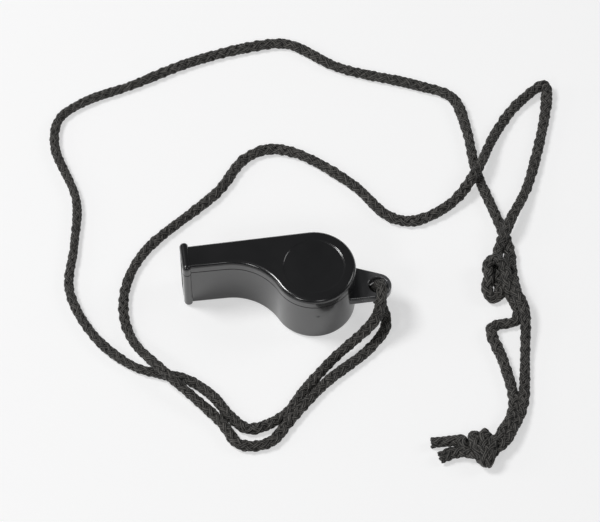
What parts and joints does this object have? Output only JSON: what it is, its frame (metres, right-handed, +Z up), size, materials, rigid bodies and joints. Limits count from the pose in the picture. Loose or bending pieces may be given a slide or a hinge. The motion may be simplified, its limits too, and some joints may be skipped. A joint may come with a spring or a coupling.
{
  "type": "training whistle",
  "caption": "Round-barrel pea whistle in two welded mouldings with a lipped mouthpiece, a loose ball inside and an eye with a knotted braided lanyard.",
  "frame": {"origin": "where the barrel's axis meets the side face that the whistle lies on", "axes": "+X from the mouthpiece to the lanyard eye, +Y towards the side with the sounding window, +Z up along the barrel's axis"},
  "size_m": [0.1427, 0.1459, 0.0195],
  "materials": {
    "shell": "glossy moulded black, lightly scuffed",
    "pea": "plain cork",
    "cord": "matt braided black cord"
  },
  "bodies": {
    "root": {"body": "shell", "side_cover": "shell", "cord_outer_strand": "cord", "cord_inner_strand": "cord", "slide_knot": "cord", "end_knot": "cord", "cord_tail_long": "cord", "cord_tail_short": "cord"},
    "pea": {"pea": "pea"}
  },
  "joints": [
    {"name": "pea_orbit", "type": "hinge", "parent": "root", "child": "pea", "pos_m": [0, 0, 0.0063], "axis": [0, 0, 1], "continuous": true}
  ]
}
